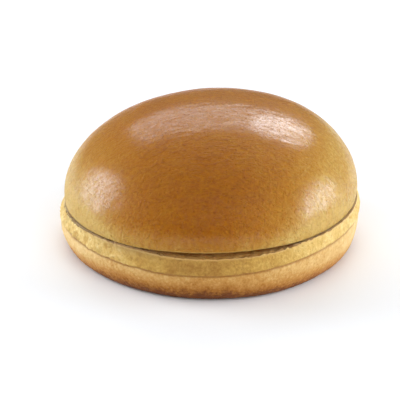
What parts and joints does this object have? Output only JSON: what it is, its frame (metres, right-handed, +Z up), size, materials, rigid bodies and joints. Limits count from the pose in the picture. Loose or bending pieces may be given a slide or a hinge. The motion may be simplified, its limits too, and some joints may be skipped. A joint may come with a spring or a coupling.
{
  "type": "sliced burger bun",
  "caption": "Round glazed burger bun cut through into a domed crown resting on a shallow heel, with a slight gap at the front.",
  "frame": {"origin": "middle of the flat underside of the heel, on the surface that the bun rests on", "axes": "+Z up through the crown's top, -Y towards the front where the cut gapes, +X to the right seen from the front"},
  "size_m": [0.1001, 0.1001, 0.0487],
  "materials": {
    "crown_crust": "satin",
    "heel_crust": "matte"
  },
  "bodies": {
    "root": {"heel": "heel_crust", "crown": "crown_crust"}
  },
  "joints": []
}
